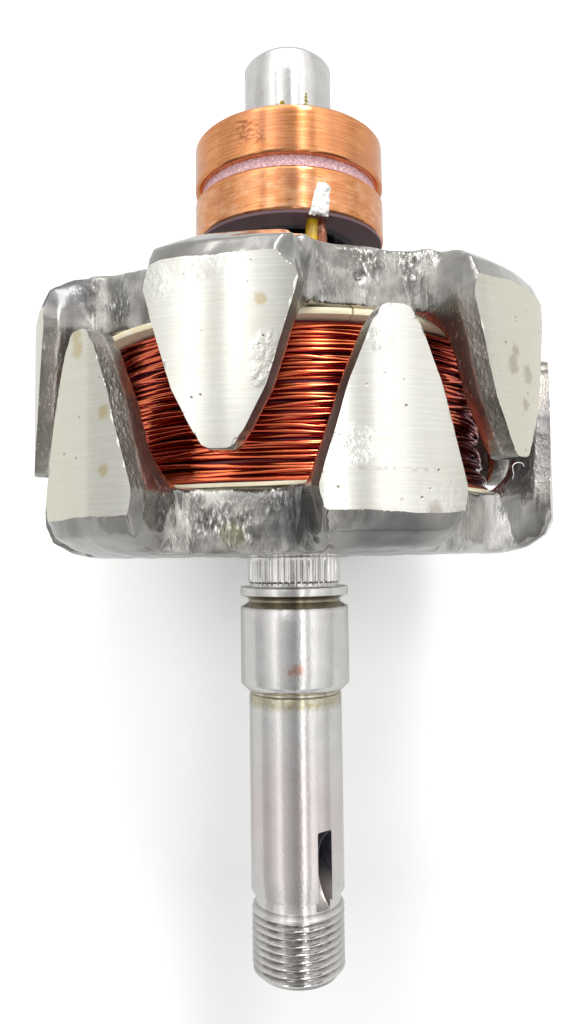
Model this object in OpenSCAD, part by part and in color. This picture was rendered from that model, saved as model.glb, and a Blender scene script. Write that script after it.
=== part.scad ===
// Alternator rotor: a shaft with two six-claw poles, a field winding and two slip rings.
// The shaft lies along Y with its thread at -Y and its slip rings at +Y.
// The origin is on the shaft's axis, in the middle of the drive-end bearing seat.

/* [Shaft] */
// Diameter of the drive-end bearing seat
bearing_seat_d = 20; // [18.5:0.5:24]
// Length of the drive-end bearing seat with its chamfer
bearing_seat_l = 15.4; // [10:0.2:22]
// Diameter of the pulley seat
pulley_seat_d = 17; // [15:0.5:18]
// Length of the pulley seat
pulley_seat_l = 34.6; // [24:0.2:50]
// Outer diameter of the pulley nut's thread
thread_d = 16.8; // [14:0.2:17]
// Length of the thread
thread_l = 12.6; // [8:0.2:20]
// Spacing of the thread's crests
thread_pitch = 1.3; // [1:0.1:2]
// Diameter of the relief groove behind the thread
relief_d = 15.6; // [12:0.2:16]
// Width of the relief groove behind the thread
relief_w = 2.1; // [1:0.1:3]
// Diameter of the neck between the bearing seat and the pulley seat
neck_d = 16.2; // [14:0.2:16.8]
// Width of the neck between the bearing seat and the pulley seat
neck_w = 1.1; // [0.6:0.1:2]
// Diameter of the shaft where the poles are pressed on
core_seat_d = 17.2; // [16:0.2:18.4]
// Diameter of the collar between the bearing seat and the poles
collar_d = 20; // [18.6:0.2:24]
// Width of the collar
collar_w = 1.7; // [1:0.1:4]
// Width of the waist between the bearing seat and the collar
waist_w = 1.9; // [1.2:0.1:4]
// Diameter at the bottom of the waist
waist_d = 17; // [15:0.2:17.2]
// Length of the knurled band that shows between the collar and the poles
knurl_l = 5.6; // [3:0.1:10]
// Diameter of the ring-end bearing journal
journal_d = 16.6; // [15:0.1:17]
// Length of the ring-end bearing journal
journal_l = 17.3; // [10:0.1:26]
// Chamfer at the shaft's ends
end_chamfer = 1.2; // [0.4:0.1:2]

/* [Keyway] */
// Width of the keyway
key_w = 3; // [2:0.1:4]
// Depth of the keyway at its middle
key_depth = 4.3; // [2:0.1:5]
// Diameter of the cutter that makes the keyway
key_cutter_d = 16; // [13:0.5:20]
// Distance of the keyway's middle from the pulley seat's thread end
key_set = 5; // [3:0.1:8]
// Angle of the keyway round the shaft, from between two claws
key_angle = 32; // [0:1:60]

/* [Poles] */
// Turn of the whole rotor round its shaft, at which it lies still on its claws
rest_turn = 4.6; // [0:0.1:30]
// Diameter over the turned faces of the claws
rotor_d = 92.6; // [90:0.2:100]
// Number of claws on each pole
claw_count = 6; // [5:1:6]
// Thickness of a pole's disc
disc_t = 9.8; // [8.5:0.1:12]
// Diameter of a pole's disc between its claws
disc_d = 72.6; // [72:0.2:74]
// Distance between the two discs, where the winding lies
coil_gap = 25.8; // [24.5:0.1:30]
// Reach of a drive-end claw, from its disc's outer face
drive_claw_l = 33.4; // [30:0.1:35]
// Reach of a ring-end claw, from its disc's outer face
ring_claw_l = 31.6; // [30:0.1:35]
// Width of a claw where it is widest
claw_root_w = 21.4; // [18:0.2:23]
// Width of a claw at its knee
claw_knee_w = 13; // [11:0.2:15]
// Width of a claw at its tip
claw_tip_w = 3.8; // [3:0.2:6]
// Width of a claw's shoulder at the disc's outer face
claw_shoulder_w = 16.4; // [14:0.2:20]
// Distance of a claw's widest place from its disc's outer face
claw_root_s = 9; // [7:0.1:11]
// Distance of a claw's knee from its disc's outer face
claw_knee_s = 23.2; // [21:0.1:25]
// Radial thickness of a claw at its tip
claw_tip_t = 5.2; // [3.5:0.1:5.6]
// Radial thickness of a claw where it bends out of the disc
claw_bend_t = 5.9; // [5:0.1:7]
// Height of the inner hollow of the bend between a disc and its claws
claw_bend_h = 6.4; // [4:0.1:9]
// Height of a claw's sloping shoulder along the shaft
shoulder_h = 5.8; // [4:0.1:7]
// How far a claw's shoulder slopes in from the turned face
shoulder_in = 8.4; // [5:0.1:9.5]
// Radius of the hollow where a claw joins the disc
claw_fillet = 4.5; // [2:0.1:5]
// Height of the ring staked round the shaft on a pole's outer face
stake_h = 0.6; // [0.3:0.1:2]

/* [Winding] */
// Diameter over the winding
winding_d = 68; // [58:0.2:70]
// Diameter over the core tube
core_d = 44; // [36:0.5:48]
// Wall of the bobbin's tube
bobbin_wall = 1.2; // [0.8:0.1:2]
// Diameter of the bobbin's flanges
flange_d = 72.8; // [71:0.2:73.2]
// Thickness of the ring-end flange
ring_flange_t = 1; // [0.6:0.1:1.6]
// Thickness of the drive-end flange
drive_flange_t = 0.7; // [0.5:0.1:1.6]
// Clearance between a flange and the claws outside it
claw_clear = 0.5; // [0.3:0.1:1]

/* [Slip rings] */
// Diameter of the slip rings
slip_ring_d = 35.7; // [32:0.1:40]
// Wall of a slip ring
slip_ring_wall = 2; // [1.4:0.1:3]
// Width of the inner slip ring
inner_ring_w = 7.8; // [6:0.1:10]
// Width of the outer slip ring
outer_ring_w = 8.4; // [6:0.1:10]
// Width of the insulation between the slip rings
ring_gap_w = 2.3; // [1.5:0.1:4]
// Depth of the groove over the insulation between the slip rings
ring_gap_depth = 1.3; // [0.5:0.1:1.4]
// Distance from the ring-end pole to the inner slip ring
ring_offset = 13.1; // [9:0.1:18]
// Depth of the recess under the slip-ring hub
hub_recess = 2; // [1:0.1:4]
// Diameter of the recess under the slip-ring hub
hub_recess_d = 22; // [20:0.2:23]
// Thickness of the hub's lip under the inner slip ring
hub_lip = 0.5; // [0.3:0.1:1]
// Chamfer on the slip rings' outer edges
ring_chamfer = 0.5; // [0.2:0.1:1]

/* [Leads] */
// Diameter over a lead's sleeve
sleeve_d = 3.2; // [2.6:0.1:3.6]
// Diameter of a lead's wire
lead_d = 1.5; // [1:0.1:2]
// Clearance between a lead's sleeve and the slip ring outside it
lead_clear = 0.05; // [0.05:0.05:0.5]
// Angle of the near lead round the shaft, from between two claws
lead_angle = 15; // [8:1:20]
// Thickness of the solder on the slip ring
solder_t = 0.35; // [0.2:0.05:0.8]
// Width of the solder on the slip ring
solder_w = 2.8; // [2:0.1:4]
// Length of the solder on the slip ring
solder_l = 4.6; // [3:0.1:6]

/* [Hidden] */
$fn = 96;

claw_pitch = 360 / claw_count;
rotor_r = rotor_d / 2;
core_seat_r = core_seat_d / 2;

// Stations along the shaft, from the thread's end to the journal's end
seat_start = -bearing_seat_l / 2;
seat_end = bearing_seat_l / 2;
pulley_end = seat_start - neck_w;
pulley_start = pulley_end - pulley_seat_l;
thread_end = pulley_start - relief_w;
thread_start = thread_end - thread_l;
collar_start = seat_end + waist_w;
collar_end = collar_start + collar_w;
drive_face = collar_end + knurl_l;
drive_inner = drive_face + disc_t;
ring_inner = drive_inner + coil_gap;
ring_face = ring_inner + disc_t;
inner_ring_start = ring_face + ring_offset;
inner_ring_end = inner_ring_start + inner_ring_w;
outer_ring_start = inner_ring_end + ring_gap_w;
outer_ring_end = outer_ring_start + outer_ring_w;
journal_end = outer_ring_end + journal_l;
hub_start = inner_ring_start - hub_lip;
lead_end = inner_ring_start + inner_ring_w / 2;

// Small cuts and rounds
seat_chamfer = 1.4;
edge_chamfer = 0.3;
undercut_w = 0.6;
undercut_depth = 0.4;
face_chamfer = 0.5;
hub_lip_set = 0.3;
tip_round = 0.5;
tip_corner = 0.8;
stake_wall = 1.4;
bore_clear = 0.3;
// How far a hollow's circle cuts into the sides it joins
fillet_bite = 0.03;
// How far a cutting shape runs past what it cuts
past = 1;

// The thread's depth and the flat of its crests, as shares of its pitch
thread_depth = 0.61;
thread_crest = 0.1;
// Where the flat of the waist begins and ends, as shares of its width
waist_flat = [0.4, 0.7];
// The claw's side near its tip: its flare and its distance, as shares of the length past the knee
tip_flare = 0.16;
tip_set = 0.28;

// Radii where the claws and the disc meet
disc_r = disc_d / 2;
claw_root_r = flange_d / 2 + claw_clear;
stake_r = core_seat_r + stake_wall;
ring_r = slip_ring_d / 2;
ring_bore_r = ring_r - slip_ring_wall;
lead_r = ring_bore_r - lead_clear - sleeve_d / 2;
lead_hole_r = sleeve_d / 2 + bore_clear;
claw_inner_r = rotor_r - claw_bend_t;

// Puts what is drawn along Z onto the shaft's axis, Y, turned as the rotor lies
module laid() rotate([-90, 0, 0]) rotate([0, 0, rest_turn]) children();

// Turns what is drawn on the X side to an angle round the shaft
module around(angle) rotate([0, 0, angle - 90]) children();

// A turned tube between two stations
module tube(r_out, r_in, from, to)
    translate([0, 0, from])
        difference() {
            cylinder(h = to - from, r = r_out);
            translate([0, 0, -past]) cylinder(h = to - from + 2 * past, r = r_in);
        }

// The thread's outline from its start to its end, one V for each turn
thread_turns = floor((thread_l - end_chamfer) / thread_pitch);
thread_points = [for (i = [thread_turns - 1 : -1 : 0]) each [
    [thread_d / 2, thread_end - (i + 1) * thread_pitch],
    [thread_d / 2 - thread_depth * thread_pitch, thread_end - (i + (1 + thread_crest) / 2) * thread_pitch],
    [thread_d / 2, thread_end - (i + thread_crest) * thread_pitch]]];

module shaft() {
    seat_r = bearing_seat_d / 2;
    pulley_r = pulley_seat_d / 2;
    collar_r = collar_d / 2;
    outline = concat(
        [[0, thread_start], [thread_d / 2 - end_chamfer, thread_start],
        [thread_d / 2, thread_start + end_chamfer]],
        thread_points,
        [[relief_d / 2, thread_end], [relief_d / 2, pulley_start],
        [pulley_r - edge_chamfer, pulley_start], [pulley_r, pulley_start + edge_chamfer],
        [pulley_r, pulley_end - edge_chamfer], [pulley_r - edge_chamfer, pulley_end],
        [neck_d / 2, pulley_end], [neck_d / 2, seat_start],
        [seat_r - seat_chamfer, seat_start], [seat_r, seat_start + seat_chamfer],
        [seat_r, seat_end - edge_chamfer], [seat_r - edge_chamfer, seat_end],
        [waist_d / 2, seat_end + waist_w * waist_flat[0]],
        [waist_d / 2, seat_end + waist_w * waist_flat[1]],
        [collar_r - edge_chamfer, collar_start], [collar_r, collar_start + edge_chamfer],
        [collar_r, collar_end - edge_chamfer], [collar_r - edge_chamfer, collar_end],
        [core_seat_r - undercut_depth, collar_end],
        [core_seat_r - undercut_depth, collar_end + undercut_w],
        [core_seat_r, collar_end + undercut_w], [core_seat_r, outer_ring_end],
        [journal_d / 2, outer_ring_end], [journal_d / 2, journal_end - end_chamfer],
        [journal_d / 2 - end_chamfer, journal_end], [0, journal_end]]);
    color("silver") laid() difference() {
        rotate_extrude() polygon(outline);
        // Half-round keyway, open into the relief groove
        around(key_angle)
            translate([pulley_r + key_cutter_d / 2 - key_depth, -key_w / 2,
                pulley_start + key_set])
                rotate([-90, 0, 0]) cylinder(h = key_w, r = key_cutter_d / 2);
    }
}

// A claw's outline, as half widths at distances from the disc's outer face
function claw_points(reach) = let (tip = claw_tip_w / 2, run = reach - claw_knee_s) [
    [claw_shoulder_w / 2, -past],
    for (a = [0 : 45 : 90]) [
        claw_shoulder_w / 2 + (claw_root_w - claw_shoulder_w) / 2 * sin(a),
        claw_root_s * (1 - cos(a))],
    [claw_knee_w / 2, claw_knee_s],
    [tip + run * tip_flare, reach - run * tip_set],
    [tip, reach - tip_corner], [tip - tip_corner, reach]];

// The claws' prism: its outline runs along the shaft and its depth runs outwards
module claw_prism(reach) {
    right = claw_points(reach);
    left = [for (i = [len(right) - 1 : -1 : 0]) [-right[i][0], right[i][1]]];
    rotate([90, 0, 90]) linear_extrude(height = rotor_d) polygon(concat(right, left));
}

// The shoulder's outline, from the disc's outer face to the turned face
shoulder_points = [for (a = [0 : 30 : 90])
    [rotor_r - shoulder_in * (1 - sin(a)), shoulder_h * (1 - cos(a))]];

// The hollow inside the claws' bend, a quarter of an ellipse down to the disc's inner face
bend_points = [for (a = [0 : 15 : 90])
    [claw_root_r + (claw_inner_r - claw_root_r) * cos(a), disc_t + claw_bend_h * (1 - sin(a))]];

// Claws cut from one turned ring, thinning to their tips
module claw_ring(reach)
    intersection() {
        rotate_extrude() polygon(concat([[core_d / 2, 0]], shoulder_points,
            [[rotor_r, reach - tip_round], [rotor_r - tip_round, reach], [rotor_r - claw_tip_t, reach]],
            bend_points, [[core_d / 2, disc_t]]));
        union() for (i = [0 : claw_count - 1]) rotate([0, 0, i * claw_pitch]) claw_prism(reach);
    }

// The plan of a disc's rim where its claws grow out of it, with a hollow on both sides of each
module claw_roots() {
    across = claw_root_w / 2 + claw_fillet - fillet_bite;
    out = disc_r + claw_fillet - fillet_bite;
    middle = [sqrt(pow(out, 2) - pow(across, 2)), across];
    inside = middle * (disc_r - past) / out;
    difference() {
        for (i = [0 : claw_count - 1]) rotate(i * claw_pitch)
            polygon([[inside[0], -inside[1]], [middle[0], -middle[1]], middle, inside]);
        for (i = [0 : claw_count - 1], side = [-1, 1]) rotate(i * claw_pitch)
            translate([middle[0], side * middle[1]]) circle(r = claw_fillet);
    }
}

// One forged pole with its outer face at z = 0 and its claws reaching to +z
module pole(reach, lead_angles)
    difference() {
        union() {
            rotate_extrude() polygon([
                [core_seat_r, 0], [disc_r - face_chamfer, 0], [disc_r, face_chamfer],
                [disc_r, disc_t - face_chamfer], [disc_r - face_chamfer, disc_t], [core_seat_r, disc_t]]);
            translate([0, 0, -stake_h]) tube(stake_r, core_seat_r, 0, stake_h);
            claw_ring(reach);
            intersection() {
                linear_extrude(height = disc_t) claw_roots();
                rotate_extrude() polygon(concat([[core_d / 2, 0]], shoulder_points,
                    [[rotor_r, disc_t], [core_d / 2, disc_t]]));
            }
        }
        for (angle = lead_angles) rotate([0, 0, angle])
            translate([lead_r, 0, -past]) cylinder(h = disc_t + 2 * past, r = lead_hole_r, $fn = 32);
    }

module drive_end_pole() color("dimgray") laid() translate([0, 0, drive_face])
    around(claw_pitch / 4) pole(drive_claw_l, []);

// The ring-end pole is the same shape turned end for end
module ring_end_pole() color("dimgray") laid() translate([0, 0, ring_face])
    around(-claw_pitch / 4) mirror([0, 0, 1])
        pole(ring_claw_l, [lead_angle + claw_pitch / 4, lead_angle + claw_pitch / 4 + 180]);

module core() color("gray") laid() tube(core_d / 2, core_seat_r, drive_inner, ring_inner);

module bobbin_tube() color("wheat") laid()
    tube(core_d / 2 + bobbin_wall, core_d / 2, drive_inner + drive_flange_t, ring_inner - ring_flange_t);

module drive_end_flange() color("wheat") laid()
    tube(flange_d / 2, core_d / 2, drive_inner, drive_inner + drive_flange_t);

module ring_end_flange() color("wheat") laid()
    tube(flange_d / 2, core_d / 2, ring_inner - ring_flange_t, ring_inner);

module field_winding() color("firebrick") laid()
    tube(winding_d / 2, core_d / 2 + bobbin_wall, drive_inner + drive_flange_t, ring_inner - ring_flange_t);

// The moulded hub under both rings, with a lip below them, a band between them and lead slots
module slip_ring_hub() color("rosybrown") laid() difference() {
    union() {
        tube(ring_bore_r, core_seat_r, hub_start, outer_ring_end);
        tube(ring_r - hub_lip_set, core_seat_r, hub_start, inner_ring_start);
        tube(ring_r - ring_gap_depth, core_seat_r, inner_ring_end, outer_ring_start);
    }
    tube(hub_recess_d / 2, core_seat_r, hub_start - past, hub_start + hub_recess);
    for (side = [0, 180]) around(lead_angle + side)
        translate([lead_r, 0, hub_start - past])
            cylinder(h = lead_end - hub_start + past, r = sleeve_d / 2);
}

// A slip ring between two stations, with both outer edges chamfered
module slip_ring(from, to) color("peru") laid() rotate_extrude() polygon([
    [ring_bore_r, from], [ring_r - ring_chamfer, from], [ring_r, from + ring_chamfer],
    [ring_r, to - ring_chamfer], [ring_r - ring_chamfer, to], [ring_bore_r, to]]);

module inner_slip_ring() slip_ring(inner_ring_start, inner_ring_end);

module outer_slip_ring() slip_ring(outer_ring_start, outer_ring_end);

// A sleeve from the ring-end flange through the pole and up into the slip-ring hub
module lead_sleeve(side) color("gold") laid() around(lead_angle + side) translate([lead_r, 0, 0])
    tube(sleeve_d / 2, lead_d / 2, ring_inner, lead_end);

module lead_wire(side) color("sienna") laid() around(lead_angle + side) translate([lead_r, 0, ring_inner])
    cylinder(h = lead_end - ring_inner, r = lead_d / 2);

module near_lead_sleeve() lead_sleeve(0);

module far_lead_sleeve() lead_sleeve(180);

module near_lead_wire() lead_wire(0);

module far_lead_wire() lead_wire(180);

// Solder on the inner slip ring, over the near lead
module solder_joint() color("gainsboro") laid() intersection() {
    tube(ring_r + solder_t, ring_r, inner_ring_start + ring_chamfer, inner_ring_start + solder_l);
    around(lead_angle) translate([0, -solder_w / 2, inner_ring_start])
        cube([slip_ring_d, solder_w, solder_l]);
}

shaft();
drive_end_pole();
ring_end_pole();
core();
bobbin_tube();
drive_end_flange();
ring_end_flange();
field_winding();
slip_ring_hub();
inner_slip_ring();
outer_slip_ring();
near_lead_sleeve();
far_lead_sleeve();
near_lead_wire();
far_lead_wire();
solder_joint();
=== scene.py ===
from math import atan2, ceil, cos, degrees, hypot, pi, radians, sin

import bmesh
import bpy
from mathutils import Euler, Matrix, Vector, noise


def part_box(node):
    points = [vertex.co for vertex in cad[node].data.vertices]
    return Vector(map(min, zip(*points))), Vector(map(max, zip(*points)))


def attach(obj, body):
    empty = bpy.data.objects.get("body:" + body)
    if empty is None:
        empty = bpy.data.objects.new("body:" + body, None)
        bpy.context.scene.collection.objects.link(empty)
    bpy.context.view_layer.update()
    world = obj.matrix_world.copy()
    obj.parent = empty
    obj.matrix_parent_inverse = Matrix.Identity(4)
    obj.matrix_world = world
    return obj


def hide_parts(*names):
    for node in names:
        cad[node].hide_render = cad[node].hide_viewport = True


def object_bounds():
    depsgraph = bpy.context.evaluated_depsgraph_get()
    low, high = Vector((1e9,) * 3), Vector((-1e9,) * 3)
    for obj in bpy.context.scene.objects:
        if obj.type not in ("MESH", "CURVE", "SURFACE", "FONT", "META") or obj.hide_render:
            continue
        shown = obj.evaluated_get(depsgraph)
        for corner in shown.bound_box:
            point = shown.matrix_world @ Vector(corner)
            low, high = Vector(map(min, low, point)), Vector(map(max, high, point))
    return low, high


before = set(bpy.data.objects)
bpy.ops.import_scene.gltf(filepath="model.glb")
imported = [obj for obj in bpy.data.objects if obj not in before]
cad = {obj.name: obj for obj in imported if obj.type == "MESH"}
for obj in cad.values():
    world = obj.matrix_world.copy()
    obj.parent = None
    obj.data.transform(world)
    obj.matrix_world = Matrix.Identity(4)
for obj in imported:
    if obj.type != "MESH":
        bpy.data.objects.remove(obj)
cad_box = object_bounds()

MM = 0.001


# ---------------------------------------------------------------- making pieces

def station(node, end):
    """A CAD node's lowest (0) or highest (1) place along the shaft, in millimetres."""
    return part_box(node)[end].y / MM


def place(angle, radius, along):
    """A point at an angle round the shaft from +Z towards +X, in metres."""
    a = radians(angle)
    return Vector((radius * sin(a), along, radius * cos(a))) * MM


def linked(name, data):
    """Puts a mesh, a curve or a lens into the scene as an object."""
    made = bpy.data.objects.new(name, data)
    bpy.context.scene.collection.objects.link(made)
    return made


def piece(name, bm, *materials):
    """Makes a mesh object from bm and gives it its materials."""
    mesh = bpy.data.meshes.new(name)
    for face in bm.faces:
        face.smooth = True
    bm.to_mesh(mesh)
    bm.free()
    for material in materials:
        mesh.materials.append(material)
    return linked(name, mesh)


def finished_mesh(made):
    """An object's mesh with its modifiers or its curve's thickness worked in."""
    graph = bpy.context.evaluated_depsgraph_get()
    return bpy.data.meshes.new_from_object(made.evaluated_get(graph))


def settle(made):
    """Applies a piece's modifiers to its mesh."""
    mesh = finished_mesh(made)
    made.modifiers.clear()
    made.data = mesh


def keep(made, slot, *nodes):
    """Hands a finished piece to the frame, in the place of the CAD nodes it stands for."""
    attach(made, "root")
    for node in nodes:
        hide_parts(node)


def outline(bm, points, closed):
    """Lays an outline of (radius, station) points on the shaft's axis, as a wire to be spun."""
    verts = [bm.verts.new((r * MM, y * MM, 0)) for r, y in points]
    pairs = list(zip(verts, verts[1:]))
    if closed:
        pairs.append((verts[-1], verts[0]))
    for pair in pairs:
        bm.edges.new(pair)
    return verts


def turn(bm, points, closed=False, segments=192, ease=0.0):
    """Turns an outline round the shaft's axis, its corners eased first."""
    verts = outline(bm, points, closed)
    if ease:
        inner = verts if closed else verts[1:-1]
        bmesh.ops.bevel(bm, geom=inner, offset=ease * MM, segments=2,
                        profile=0.5, affect="VERTICES", material=-1)
    bmesh.ops.spin(bm, geom=bm.verts[:] + bm.edges[:], axis=(0, 1, 0), cent=(0, 0, 0),
                   angle=2 * pi, steps=segments, use_merge=True)
    bmesh.ops.remove_doubles(bm, verts=bm.verts, dist=1e-6)
    bmesh.ops.recalc_face_normals(bm, faces=bm.faces)


def rows(start, end, step, radius):
    """Evenly spaced points of one radius along the shaft, both ends left out."""
    count = ceil((end - start) / step)
    return [(radius, start + (end - start) * k / count) for k in range(1, count)]


def sharpen(bm, limit):
    """Marks the edges that turn more than a limit in degrees as sharp."""
    for edge in bm.edges:
        if len(edge.link_faces) == 2:
            edge.smooth = edge.calc_face_angle(0) < radians(limit)


def cut(made, tool, how="DIFFERENCE"):
    """Cuts a piece with another and removes the tool."""
    step = made.modifiers.new("cut", "BOOLEAN")
    step.operation = how
    step.solver = "EXACT"
    step.material_mode = "TRANSFER"
    step.object = tool
    settle(made)
    bpy.data.objects.remove(tool)
    bm = bmesh.new()
    bm.from_mesh(made.data)
    sharpen(bm, 42)
    bm.to_mesh(made.data)
    bm.free()


def strand(name, material, points, thick, rounding, kind="POLY", caps=True):
    """A round strand laid through (angle, radius, station) points."""
    curve = bpy.data.curves.new(name, "CURVE")
    curve.dimensions = "3D"
    curve.bevel_depth = thick / 2 * MM
    curve.bevel_resolution = rounding
    curve.use_fill_caps = caps
    spline = curve.splines.new(kind)
    spline.points.add(len(points) - 1)
    for point, spot in zip(spline.points, points):
        point.co = (*place(*spot), 1)
    spline.use_endpoint_u = True
    drawn = linked(name, curve)
    mesh = finished_mesh(drawn)
    bpy.data.objects.remove(drawn)
    for face in mesh.polygons:
        face.use_smooth = True
    mesh.materials.clear()
    mesh.materials.append(material)
    return linked(name, mesh)


# ---------------------------------------------------------------- sizes, in millimetres and degrees

# Radii along the shaft: thread, pulley seat, bearing seat and collar, knurled band, journal
THREAD_R, PULLEY_R, SEAT_R, KNURL_R, JOURNAL_R = 8.4, 8.5, 10, 8.6, 8.3
# The poles: radius over the claws, their disc's radius and thickness, and claws on each
ROTOR_R, DISC_R, DISC_T, CLAWS = 46.3, 36.3, 9.8, 6
# The angle of one claw of the drive-end pole and of one of the ring-end pole
DRIVE_CLAW, RING_CLAW = 19.6, -10.4
RING_R, RING_BORE = 17.85, 15.85

# Stations along the shaft, from the middle of the bearing seat towards the slip rings
thread_start, journal_end = station("shaft", 0), station("shaft", 1)
thread_end, pulley_start, pulley_end = -45.5, -43.4, -8.2
seat_start, seat_end = -7.7, 7.7
collar_start, collar_end = 9.6, 11.3
drive_face, ring_face = station("core", 0) - DISC_T, station("core", 1) + DISC_T
pole_middle = (drive_face + ring_face) / 2
coil_start, coil_end = station("drive_end_flange", 1), station("ring_end_flange", 0)
board_top = station("ring_end_flange", 1)
ring_low, ring_high = station("inner_slip_ring", 0), station("inner_slip_ring", 1)
outer_low, outer_high = station("outer_slip_ring", 0), station("outer_slip_ring", 1)


# ---------------------------------------------------------------- materials

def colour(code):
    """A linear colour from an sRGB hex code."""
    parts = [int(code[i:i + 2], 16) / 255 for i in (1, 3, 5)]
    return [c / 12.92 if c <= 0.04045 else ((c + 0.055) / 1.055) ** 2.4 for c in parts] + [1.0]


def add(tree, kind, inputs=(), out=0, stops=(), **settings):
    """Adds a node with its settings, values, links and ramp stops, and gives one output."""
    made = tree.nodes.new("ShaderNode" + kind)
    for key, value in settings.items():
        setattr(made, key, value)
    for key, value in dict(inputs).items():
        if isinstance(value, bpy.types.NodeSocket):
            tree.links.new(value, made.inputs[key])
        else:
            made.inputs[key].default_value = value
    for index, (spot, shade) in enumerate(stops):
        elements = made.color_ramp.elements
        if index == 0:
            elements.remove(elements[1])
        element = elements.new(spot) if index else elements[0]
        element.position = spot
        element.color = colour(shade) if isinstance(shade, str) else [shade] * 3 + [1.0]
    return made.outputs[out]


def material(name, **values):
    """A material with its shader's own values set, and what is needed to build on it."""
    made = bpy.data.materials.new(name)
    made.use_nodes = True
    tree = made.node_tree
    shader = tree.nodes["Principled BSDF"]
    for key, value in values.items():
        shader.inputs[key.replace("_", " ").title()].default_value = value
    return made, tree, shader, add(tree, "TexCoord", out="Object")


def grains(tree, where, size, detail=2.0, stretch=(1, 1, 1), rough=0.5, warp=0.0, stops=()):
    """Noise whose grains have a size in millimetres, stretched along each axis, and shaded
    through colour stops where some are given."""
    fine = [1 / (size * MM * s) for s in stretch]
    scaled = add(tree, "Mapping", {"Vector": where, "Scale": fine})
    made = add(tree, "TexNoise", {"Vector": scaled, "Scale": 1.0, "Detail": detail,
                                  "Roughness": rough, "Distortion": warp})
    return add(tree, "ValToRGB", {0: made}, stops=stops) if stops else made


def bumped(tree, shader, *layers):
    """Raises a shader's surface, and its clear coat, by (height, depth in millimetres) layers."""
    normal = None
    for height, depth in layers:
        inputs = {"Height": height, "Distance": depth * MM, "Strength": 1.0}
        if normal:
            inputs["Normal"] = normal
        normal = add(tree, "Bump", inputs)
    tree.links.new(normal, shader.inputs["Normal"])
    tree.links.new(normal, shader.inputs["Coat Normal"])


def layered(tree, tint, *layers):
    """A tint with (mask, strength, tint) layers laid over it, each over the ones before."""
    for mask, strength, over in layers:
        cover = add(tree, "Math", {0: mask, 1: strength}, operation="MULTIPLY")
        below, above = [colour(t) if isinstance(t, str) else t for t in (tint, over)]
        tint = add(tree, "Mix", {0: cover, 6: below, 7: above}, out=2, data_type="RGBA")
    return tint


def meeting(tree, *masks, how="MULTIPLY"):
    """Several masks in one: where all of them are, or with MAXIMUM where any of them is."""
    made = masks[0]
    for mask in masks[1:]:
        made = add(tree, "Math", {0: made, 1: mask}, operation=how)
    return made


def patches(tree, where, radius, ragged, *spots):
    """Ragged patches: 1 at each (angle, station, reach) spot of a radius and 0 beyond its reach."""
    made = []
    for angle, along, reach in spots:
        far = add(tree, "VectorMath", {0: where, 1: place(angle, radius, along)}, out="Value",
                  operation="DISTANCE")
        edge = grains(tree, where, reach * 0.6, 3)
        wide = add(tree, "Math", {0: edge, 1: 2 * reach * MM * ragged, 2: far},
                   operation="MULTIPLY_ADD")
        made.append(add(tree, "MapRange", {
            "Value": wide, "From Min": reach * MM * (0.5 + ragged),
            "From Max": reach * MM * (1 + ragged), "To Min": 1.0, "To Max": 0.0}))
    return meeting(tree, *made, how="MAXIMUM")


def distance_out(tree, where):
    """How far a point is from the shaft's axis, in metres."""
    flat = add(tree, "VectorMath", {0: where, 1: (1, 0, 1)}, operation="MULTIPLY")
    return add(tree, "VectorMath", {0: flat}, out="Value", operation="LENGTH")


def share_of(tree, vector, axis):
    """The size of a vector's part along one axis."""
    part = add(tree, "SeparateXYZ", {0: vector}, out=axis)
    return add(tree, "Math", {0: part}, operation="ABSOLUTE")


def ring_mark(tree, where, middle, half, soft):
    """A ring round the shaft: 1 within half a width of its middle, 0 a soft edge further."""
    centred = add(tree, "VectorMath", {0: where, 1: (0, middle * MM, 0)}, operation="SUBTRACT")
    return add(tree, "MapRange", {"Value": share_of(tree, centred, "Y"), "From Min": half * MM,
                                  "From Max": (half + soft) * MM, "To Min": 1.0, "To Max": 0.0})


# Forged steel dipped in black varnish: a dark wet gloss that lies thick and wrinkled in the
# hollows and thin on the shoulders, where the grey of the steel comes through
varnish, tree, shader, where = material("black_varnish", metallic=0.85, coat_weight=1.0,
                                        coat_roughness=0.04)
out = distance_out(tree, where)
facing = add(tree, "TexCoord", out="Normal")
wrinkle = grains(tree, where, 0.6, 3, stretch=(1, 2.2, 1), warp=0.3)
crisp = add(tree, "ValToRGB", {0: wrinkle}, stops=(
    (0.34, "#4A4641"), (0.52, "#8E8B85"), (0.62, "#D6D4CF"), (0.69, "#FFFFFC")))
calm = grains(tree, where, 4.5, 3, stops=(
    (0.32, "#6C6964"), (0.5, "#A09D97"), (0.66, "#BEBBB5")))
# Wrinkles gather here and there, and where the varnish ran together in the poles' valleys
gathered = grains(tree, where, 4, 2, stretch=(1, 2, 1), stops=((0.58, 0.0), (0.7, 0.8)))
runs = patches(tree, where, DISC_R, 0.8, (20.7, 59.6, 3), (31.9, 60.5, 3.5), (-47, 57, 3.5),
               (-12, 21.2, 3.5), (-17.5, 22, 3), (-1, 24.5, 2.5), (108, 59, 5), (168, 22, 5),
               (-108, 22, 4), (-160, 59, 4))
gathered = meeting(tree, gathered, runs, how="MAXIMUM")
hollow = add(tree, "MapRange", {"Value": out, "From Min": 43.5 * MM, "From Max": 39 * MM})
shoulder = grains(tree, where, 9, 3, stops=((0.35, "#77746F"), (0.65, "#A3A19C")))
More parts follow.
